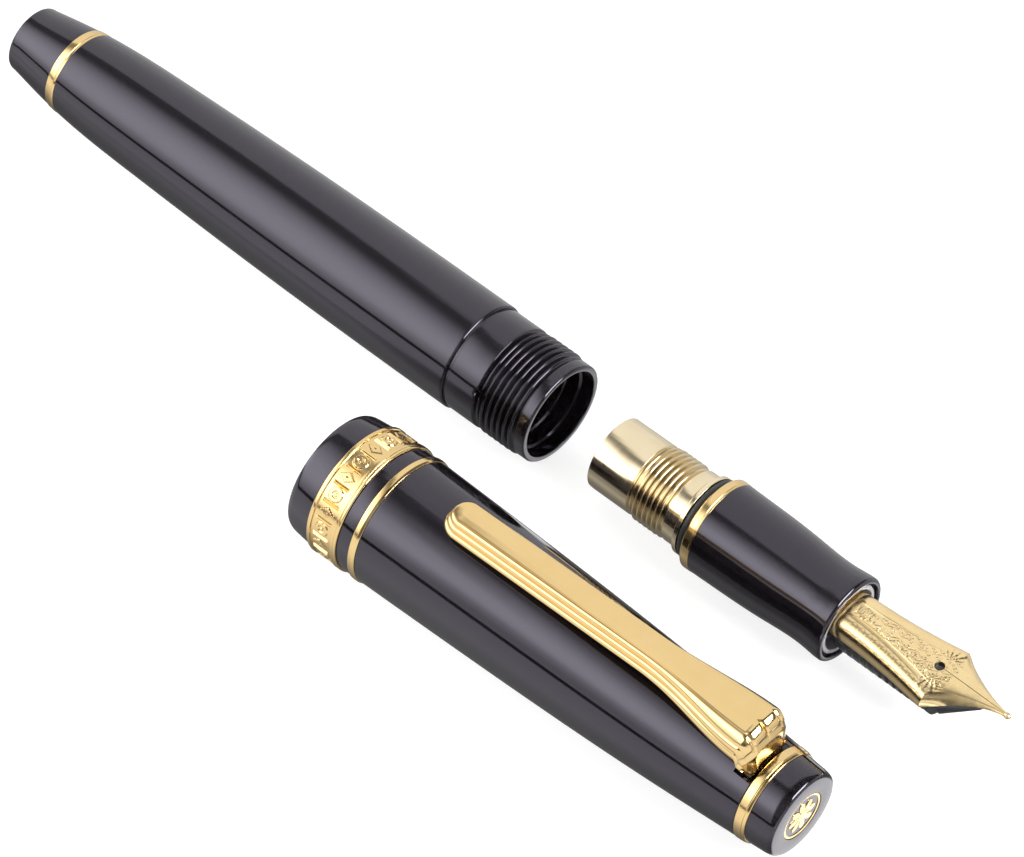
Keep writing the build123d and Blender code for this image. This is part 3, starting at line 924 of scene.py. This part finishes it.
put(cap_tube(), "cap_shell", "cap", RESIN)
put(cap_ring(), "cap_band", "cap", GOLD)
put(thin_ring(), "cap_thin_ring", "cap", GOLD)
put(liner(), "inner_cap", "cap", FEED)
put(top_ring(), "clip_ring", "cap", GOLD)
put(top_piece(), "finial", "cap", RESIN)
put(screw(), "finial_screw", "cap", STEEL)

# ---------- emblem


def emblem_disc():
    """The dark enamelled disc of the emblem."""
    end = end_of("finial_emblem")
    seat = radius_of("finial_emblem")
    outline = soften([(end - 0.4, 0), (end - 0.4, seat - 0.3), (end - 0.12, seat - 0.3), (end - 0.12, 0)])
    return lathe("emblem_disc", outline, CAP_AXIS, segments=96)


def emblem_rim():
    """The raised gold rim around the emblem."""
    end = end_of("finial_emblem")
    seat = radius_of("finial_emblem")
    outline = soften([
        (end - 0.42, seat - 0.32), (end - 0.42, seat), (end - 0.06, seat, 0.08),
        (end, seat - 0.14, 0.08), (end - 0.06, seat - 0.32, 0.08),
    ])
    return lathe("emblem_rim", outline, CAP_AXIS, segments=128, closed=True)


def emblem_rosette():
    """A plain eight-petalled rosette, domed in the middle."""
    end = end_of("finial_emblem")
    petals = 8
    count = 160
    rows = ((-0.14, 1.0), (-0.03, 0.97), (0.0, 0.86), (-0.05, 0.45), (0.0, 0.3), (0.02, 0.15), (0.02, 0.03))
    loops = []
    for rise, share in rows:
        loop = []
        for k in range(count):
            turn = 2 * pi * k / count
            reach = 0.95 + 1.15 * abs(cos(petals / 2 * turn)) ** 0.75
            radius = reach * share if share > 0.4 else 2.1 * share
            loop.append((end + rise - 0.02, radius * sin(turn), radius * cos(turn)))
        loops.append(loop)
    return skin("emblem_rosette", loops, CAP_AXIS, 30)


put(emblem_rim(), "finial_emblem", "cap", GOLD)
put(emblem_disc(), None, "cap", RESIN)
put(emblem_rosette(), None, "cap", GOLD)

# ---------- clip

CLIP_TIP = start_of("clip")
CLIP_HALF = 2.4
CLIP_WIDENS = 111.0
KNUCKLE = 125.1
CLIP_FRONT = 127.08
CLIP_TOP = 11.14
RIDGE_CREST = 0.22
RIDGE_GROOVE = 0.08
RIDGE_POINTS = 11
SEAM = 2.1
CROWN_POINTS = 30


def clip_lines(station):
    """Where the clip's bottom edge, three grooves and crown run at a station, as (y, z)."""
    t = (station - CLIP_TIP) / (CLIP_WIDENS - CLIP_TIP)
    base = 8.0 + 0.75 * t
    top = 10.15 + 0.7 * t ** 0.8 if t > 0 else 10.15
    height = top - base
    blade = [
        (CLIP_HALF, base), (CLIP_HALF - 0.33, base + 0.31 * height),
        (CLIP_HALF - 0.68, base + 0.63 * height), (CLIP_HALF - 1.02, top - 0.1), (0.0, top),
    ]
    root = [(3.5, 7.3), (3.45, 8.6), (3.2, 9.6), (SEAM, 10.78), (0.0, 10.98)]
    w = ease((station - CLIP_WIDENS) / (KNUCKLE - CLIP_WIDENS)) ** 1.15
    return [(a[0] + (b[0] - a[0]) * w, a[1] + (b[1] - a[1]) * w) for a, b in zip(blade, root)]


def clip_half_profile(station):
    """Points from the bottom edge up over the three rounded ridges to the crown."""
    lines = clip_lines(station)
    points = []
    for ridge in range(3):
        (y0, z0), (y1, z1) = lines[ridge], lines[ridge + 1]
        run = Vector((y1 - y0, z1 - z0))
        outward = Vector((abs(run[1]), abs(run[0]))).normalized()
        crest = min(RIDGE_CREST, 0.34 * run.length)
        for k in range(RIDGE_POINTS):
            t = k / (RIDGE_POINTS - 1)
            swell = crest * sin(pi * t) ** 0.6 - RIDGE_GROOVE
            points.append((y0 + run[0] * t + outward[0] * swell, z0 + run[1] * t + outward[1] * swell))
    edge_y, edge_z = lines[3]
    crown = lines[4][1]
    for k in range(1, CROWN_POINTS + 1):
        t = k / CROWN_POINTS
        y = (edge_y - 0.03) * (1 - t)
        rise = min(1, 1.6 * t) ** 0.5
        points.append((y, edge_z + (crown - edge_z) * rise))
    return points


def clip_tip_rows():
    """Sections through the rounded free end, where each line turns around one centre."""
    centre = CLIP_TIP + CLIP_HALF
    profile = clip_half_profile(centre)
    inset = [CLIP_HALF - y for y, z in profile]
    heights = [z for y, z in profile]
    loops = []
    count = 72
    for row in range(count):
        back = CLIP_HALF * (1 - 0.002) * cos(pi / 2 * (row / count) ** 1.15)
        loop = []
        for y, z in profile:
            if y > back:
                loop.append((centre - back, sqrt(y * y - back * back), z))
            else:
                level = float(np.interp(CLIP_HALF - back, inset, heights))
                loop.append((centre - back, 0.0, level))
        loops.append(loop)
    return loops


ROLL_TURN = radians(72)


def clip_knuckle_rows():
    """Sections over the knuckle: the ridges roll over and run down as an apron on two legs."""
    loops = []
    count = 64
    roll_share = 0.6
    profile = clip_half_profile(KNUCKLE)
    for row in range(1, count + 1):
        t = row / count
        roll = min(t / roll_share, 1)
        slide = max(t - roll_share, 0) / (1 - roll_share)
        loops.append([knuckle_point(y, z, roll, slide) for y, z in profile])
    return loops


def groove(y):
    """Depth, from 0 to 1, between the round toes: nothing on their crowns, full at the seams."""
    if y > SEAM:
        return max(0.0, 1 - (y - SEAM) / 0.45) ** 2
    place = (y - SEAM / 2) / (SEAM / 2)
    return 1 - sqrt(max(0.0, 1 - place**4))


def knuckle_point(y, z, roll, slide):
    """Where one line of the clip has come to, part way over the knuckle and down the apron."""
    turn = roll * ROLL_TURN
    foot = 6.5 - 0.8 * ease((y - 1.5) / 1.1)
    front = CLIP_FRONT - 0.7 * (max(0, y - 1.95) / 1.4) ** 2
    reach = front - 0.5 - KNUCKLE
    drop = min(1.1, 0.5 * (z - foot))
    seam = groove(y)
    toe = 0.27 * (1 - seam) * ease(roll / 0.35) * ease((z - 9) / 0.8)
    lift = (toe - 0.35 * seam * ease(roll / 0.5)) * (1 - ease((slide + 0.15) / 0.4))
    top = z - drop * (1 - cos(turn)) / (1 - cos(ROLL_TURN))
    x = KNUCKLE + reach * sin(turn) / sin(ROLL_TURN) + lift * sin(turn)
    flare = 0.5 * ease(slide / 0.3)
    height = top + lift * cos(turn) + (foot - top) * slide
    return (min(x + flare, CLIP_FRONT), y * (1 - 0.1 * slide), min(height, CLIP_TOP))


def mirrored(half_loop):
    """A whole section from one side's points: down one side, across the underside, up the other."""
    left = [(s, -y, z) for s, y, z in half_loop]
    right = [(s, y, z) for s, y, z in reversed(half_loop)]
    return left + right


def clip_blade():
    """The whole sprung clip in one skin."""
    rows = clip_tip_rows()
    straight = CLIP_TIP + CLIP_HALF
    stations = [straight + (CLIP_WIDENS - straight) * k / 40 for k in range(40)]
    stations += [CLIP_WIDENS + (KNUCKLE - CLIP_WIDENS) * k / 50 for k in range(51)]
    for station in stations:
        rows.append([(station, y, z) for y, z in clip_half_profile(station)])
    rows += clip_knuckle_rows()
    return skin("clip_blade", [mirrored(row) for row in rows], CAP_AXIS, 34)


def clip_tang():
    """The tang that goes down from the knuckle into the cap's slot, with a rounded foot."""
    pivot = 126.4
    foot = 5.4
    half = 2.6
    outline = [(125.85, 7.6), (126.9, 7.6), (126.95, foot)]
    for k in range(13):
        turn = pi * k / 12
        outline.append((pivot + 0.55 * cos(turn), foot - 0.55 * sin(turn)))
    outline.append((125.85, foot))
    vertices = []
    for y in (-half, half):
        for s, z in outline:
            vertices.append((TAIL + s * MM, CAP_AXIS[0] + y * MM, CAP_AXIS[1] + z * MM))
    n = len(outline)
    faces = [tuple(range(n)), tuple(range(2 * n - 1, n - 1, -1))]
    faces += [(k, (k + 1) % n, n + (k + 1) % n, n + k) for k in range(n)]
    return finished("clip_tang", vertices, faces, 30)


def clip_pad():
    """The small round pad under the free end that rides on the cap."""
    centre = CLIP_TIP + CLIP_HALF
    loops = []
    for k in range(9):
        turn = pi / 2 * k / 8
        radius = 1.05 * cos(turn) if k < 8 else 0.02
        z = 8.2 - 0.72 * sin(turn)
        ring = [2 * pi * m / 40 for m in range(40)]
        loops.append([(centre + radius * cos(a), radius * sin(a), z) for a in ring])
    return skin("clip_pad", loops, CAP_AXIS)


put(clip_blade(), "clip", "clip", GOLD)
put(clip_tang(), None, "clip", GOLD)
put(clip_pad(), None, "clip", GOLD)

# ---------- converter


def ink_tube():
    """The converter's clear tube."""
    back, front = span_of("converter_tube")
    outline = soften([
        (back, 2.96), (back, 3.24), (33.0, 3.24), (33.0, 3.6, 0.05), (front - 3.2, 3.6, 0.2),
        (front - 2.9, 3.5, 0.2), (front, 3.3, 0.3), (front, 1.25, 0.2), (front - 3.0, 1.25),
        (front - 3.0, 2.96, 0.4),
    ])
    return lathe("ink_tube", outline, BARREL_AXIS, segments=96, closed=True)


def collar():
    """The converter's metal collar, with two turned lines."""
    start, end = span_of("converter_collar")
    outline = soften([
        (start, 1.25), (start, 3.78, 0.15), (end - 2.0, 3.78, 0.04), (end - 1.9, 3.68, 0.03),
        (end - 1.7, 3.68, 0.03), (end - 1.6, 3.78, 0.04), (end, 3.78, 0.12), (end, 3.26),
        (start + 1.9, 3.26), (start + 1.9, 1.25),
    ])
    return lathe("converter_ring", outline, BARREL_AXIS, segments=96, closed=True)


def knob():
    """The converter's fluted knob."""
    start, end = span_of("converter_knob")
    outline = soften([
        (start, 0), (start, 3.2, 0.4), (start + 0.9, 3.4, 0.1), (end - 1.4, 3.4, 0.1),
        (end - 1.2, 3.1, 0.1), (end, 3.1, 0.1), (end, 1.25), (start + 1, 1.25), (start + 1, 0),
    ])
    outline = divided(outline, start + 0.9, end - 1.4, 0.5)

    def relief(station, angle, radius):
        if radius > 3.3 and start + 1.0 < station < end - 1.5:
            return radius - 0.22 * (0.5 + 0.5 * cos(18 * angle)) ** 3
        return radius

    return lathe("converter_turner", outline, BARREL_AXIS, relief, 216)


def screwed_rod():
    """The piston's screwed rod."""
    start, end = span_of("piston_rod")
    outline = soften([(start, 0), (start, 1.13, 0.2), (end, 1.13), (end, 0)])
    outline = divided(outline, start, end, 0.12)
    thread = helix(start + 0.3, end - 1.0, 1.2, 0.95, 1.14)

    def relief(station, angle, radius):
        return thread(station, angle, radius) if radius > 1.1 else radius

    return lathe("screwed_rod", outline, BARREL_AXIS, relief, 48)


def seal():
    """The piston's double-lipped seal."""
    start, end = span_of("piston_seal")
    outline = soften([
        (start, 0), (start, 2.9, 0.15), (start + 0.9, 2.9, 0.2), (start + 1.3, 2.42, 0.2),
        (start + 2.7, 2.42, 0.2), (start + 3.1, 2.9, 0.2), (end, 2.9, 0.15), (end, 0),
    ])
    return lathe("piston_head", outline, BARREL_AXIS, segments=96)


put(ink_tube(), "converter_tube", "converter", CLEAR)
put(collar(), "converter_collar", "converter", STEEL)
put(knob(), "converter_knob", "knob", FEED)
put(screwed_rod(), "piston_rod", "piston", HOLDER)
put(seal(), "piston_seal", "piston", RUBBER)

# ---------- studio


def studio_floor():
    """A plain pale floor under the pen, lit a little from behind so that it stays white."""
    half = 2.5
    corners = [(-half, -half, 0), (half, -half, 0), (half, half, 0), (-half, half, 0)]
    mesh = bpy.data.meshes.new("studio_floor")
    mesh.from_pydata(corners, [], [(0, 1, 2, 3)])
    plate = bpy.data.objects.new("studio_floor", mesh)
    bpy.context.scene.collection.objects.link(plate)
    plate.location.z = CAD_BOX[0][2] - 0.00002
    material, tree, shader, coordinates = new_material("studio_paper")
    paper = noise_of(tree, coordinates, 40, 2)
    tint(tree, paper, (0.3, 0.3, 0.3), (0.32, 0.32, 0.32), shader)
    fill(shader, {"Roughness": 0.9, "Specular IOR Level": 0.0})
    fill(shader, {"Emission Color": (1, 1, 1, 1), "Emission Strength": 0.8})
    mesh.materials.append(material)


def glow_card(name, xs, ys, height, glow):
    """A large soft light card whose brightness over its length and width is given by glow(x, y)."""
    vertices = [(x, y, height) for x in xs for y in ys]
    rows = len(ys)
    faces = []
    for i in range(len(xs) - 1):
        for k in range(rows - 1):
            a = i * rows + k
            faces.append((a, a + rows, a + rows + 1, a + 1))
    mesh = bpy.data.meshes.new(name)
    mesh.from_pydata(vertices, [], faces)
    levels = mesh.attributes.new("glow", "FLOAT", "POINT")
    levels.data.foreach_set("value", [glow(x, y) for x, y, _ in vertices])
    material = bpy.data.materials.new(name)
    material.use_nodes = True
    tree = material.node_tree
    tree.nodes.clear()
    level = tree.nodes.new("ShaderNodeAttribute")
    level.attribute_name = "glow"
    light = tree.nodes.new("ShaderNodeEmission")
    out = tree.nodes.new("ShaderNodeOutputMaterial")
    tree.links.new(level.outputs["Fac"], light.inputs["Strength"])
    tree.links.new(light.outputs["Emission"], out.inputs["Surface"])
    mesh.materials.append(material)
    card = bpy.data.objects.new(name, mesh)
    bpy.context.scene.collection.objects.link(card)
    card.visible_camera = False
    card.visible_shadow = False
    return card


ROOF = 0.16
ROOF_LEVELS = (
    (-89, 1.1), (-60, 1.2), (-30, 1.27), (-24, 1.27), (-19, 0.3), (-6, 0.3), (0, 0.7), (11, 1.85),
    (21, 2.7), (31, 3.3), (41, 3.75), (53, 3.85), (62, 3.5), (71, 2.5), (81, 1.6), (85, 1.3),
)
SLOT_SHIFTS = ((25, -5), (49, 0), (62, 2), (104, 24), (140, 26))


LAMP_LEVEL = 20.0
LAMP_AHEAD = (215, 230, 380, 400)
LAMP_ACROSS = (-42, -36, 135, 150)
ROOF_SKEW = 0.44


def roof_glow(x, y):
    """Brightness of the roof of light: two banks with a dark slot between, running askew."""
    out = BARREL_AXIS[0] - y
    angle = atan2(out, ROOF) * 180 / pi
    slant = sqrt(ROOF**2 + out**2)
    station = (x - TAIL + ROOF_SKEW * slant) / MM
    shift = float(np.interp(station, *zip(*SLOT_SHIFTS)))
    angle -= shift * min(max(1 - (abs(angle - 5) - 25) / 35, 0), 1)
    if angle > -12:
        angle += float(np.interp(station, (108, 120), (0, 10)))
    level = float(np.interp(angle, *zip(*ROOF_LEVELS)))
    ahead = (x - TAIL) / MM
    level *= float(np.interp(ahead, (100, 118), (1, 0.12)))
    across = -out / MM
    lamp = LAMP_LEVEL * float(np.interp(ahead, LAMP_AHEAD, (0, 1, 1, 0)))
    return level + lamp * float(np.interp(across, LAMP_ACROSS, (0, 1, 1, 0)))


def studio_roof():
    """The roof of light over the pen, seen only in reflections and as soft light."""
    angles = [radians(a) for a in np.arange(-84.0, 84.1, 1.0)]
    ys = [3.5] + [BARREL_AXIS[0] - ROOF * sin(a) / cos(a) for a in angles]
    spans = ((-1.6, -0.4, 13), (-0.37, 0.03, 21), (0.034, 0.16, 43), (0.165, 0.6, 30))
    xs = [x for start, end, count in spans for x in np.linspace(start, end, count)]
    glow_card("studio_roof", xs, ys, CAD_BOX[0][2] + ROOF, roof_glow)


NEAR_LEVELS = ((6, 0.2), (7.2, 0.26), (8.5, 0.33), (10, 0.44), (12.2, 0.6), (15, 0.85), (20, 1.2), (35, 1.35))
FAR_LEVELS = ((6, 0.3), (12, 0.5), (18, 0.72), (24, 0.83), (36, 0.9), (76, 1.0))


OPEN_FLOOR = ((BARREL_AXIS, 79, 85, 1.6), (BARREL_AXIS, 120, 127, 1.3), (CAP_AXIS, 131, 142, 2.2))


def floor_glow(x, y):
    """Brightness of the floor in reflections: soft shade close beside the barrel and the cap."""
    levels = []
    for axis, start, end in ((BARREL_AXIS, 0, 140), (CAP_AXIS, 67, 131)):
        station = (x - TAIL) / MM
        past = max(start - station, station - end, 0)
        out = (axis[0] - y) / MM
        reach = hypot(past, out)
        table = NEAR_LEVELS if out > 0 else FAR_LEVELS
        levels.append(float(np.interp(reach, *zip(*table))))
    level = min(levels)
    for axis, start, end, open_level in OPEN_FLOOR:
        if start < station < end and -0.003 < y - axis[0] < 0.012:
            level = open_level
    return level


def studio_shade():
    """The floor's shade beside the pen, seen only in reflections."""
    inner = [k * 0.0015 for k in range(-70, 71)]
    outer = [0.15, 0.3, 0.8, 2.4]
    span = [-v for v in reversed(outer)] + inner + outer
    card = glow_card("studio_shade", span, span, CAD_BOX[0][2] - 0.00001, floor_glow)
    card.visible_diffuse = False
    card.visible_transmission = False


def backdrop():
    """A plain white dome that only the camera sees, beyond the floor."""
    reach = 2.4
    outline = [(reach * sin(radians(a)), reach * cos(radians(a))) for a in range(0, 96, 5)]
    turns = [2 * pi * k / 48 for k in range(48)]
    vertices = [(r * cos(t), r * sin(t), z) for r, z in outline for t in turns]
    faces = []
    for row in range(len(outline) - 1):
        for k in range(48):
            m = (k + 1) % 48
            faces.append((row * 48 + k, row * 48 + m, row * 48 + 48 + m, row * 48 + 48 + k))
    mesh = bpy.data.meshes.new("studio_backdrop")
    mesh.from_pydata(vertices, [], faces)
    material, tree, _, _ = new_material("studio_white")
    light = tree.nodes.new("ShaderNodeEmission")
    light.inputs["Strength"].default_value = 1.05
    tree.links.new(light.outputs["Emission"], tree.nodes["Material Output"].inputs["Surface"])
    mesh.materials.append(material)
    dome = bpy.data.objects.new("studio_backdrop", mesh)
    bpy.context.scene.collection.objects.link(dome)
    dome.visible_diffuse = False
    dome.visible_glossy = False
    dome.visible_transmission = False
    dome.visible_shadow = False


def studio_sky():
    """Dark in reflections, but for a glow low down beyond the nib and beyond the pen's far side."""
    world = bpy.data.worlds.new("studio")
    bpy.context.scene.world = world
    world.use_nodes = True
    tree = world.node_tree
    direction = tree.nodes.new("ShaderNodeTexCoord")
    parts = tree.nodes.new("ShaderNodeSeparateXYZ")
    tree.links.new(direction.outputs["Generated"], parts.inputs["Vector"])
    brighter = tree.nodes.new("ShaderNodeMath")
    brighter.operation = "MAXIMUM"
    for place, (axis, low, high) in enumerate((("X", 0.5, 0.75), ("Y", 0.2, 0.45))):
        glow = tree.nodes.new("ShaderNodeMapRange")
        fill(glow, {"From Min": low, "From Max": high, "To Min": 0.04, "To Max": 1.2})
        tree.links.new(parts.outputs[axis], glow.inputs["Value"])
        tree.links.new(glow.outputs["Result"], brighter.inputs[place])
    tree.links.new(brighter.outputs["Value"], tree.nodes["Background"].inputs["Strength"])
    tree.nodes["Background"].inputs["Color"].default_value = (1, 1, 1, 1)
    world.cycles_visibility.diffuse = False


def camera():
    """A long lens from above the nib's end, on the cap's side of the pen."""
    azimuth = radians(48.05)
    elevation = radians(52.95)
    distance = 638.9 * MM
    aim = Vector((TAIL + 73.11 * MM, BARREL_AXIS[0] - 1.21 * MM, CAD_BOX[0][2]))
    back = Vector((cos(elevation) * cos(azimuth), -cos(elevation) * sin(azimuth), sin(elevation)))
    lens = bpy.data.cameras.new("camera")
    lens.sensor_width = 36
    lens.lens = 208.6
    lens.clip_start = 0.05
    view = bpy.data.objects.new("camera", lens)
    view.location = aim + back * distance
    view.rotation_euler = back.to_track_quat("Z", "Y").to_euler()
    bpy.context.scene.collection.objects.link(view)
    bpy.context.scene.camera = view


studio_floor()
studio_roof()
studio_shade()
studio_sky()
backdrop()
camera()
bpy.context.scene.view_settings.view_transform = "Standard"
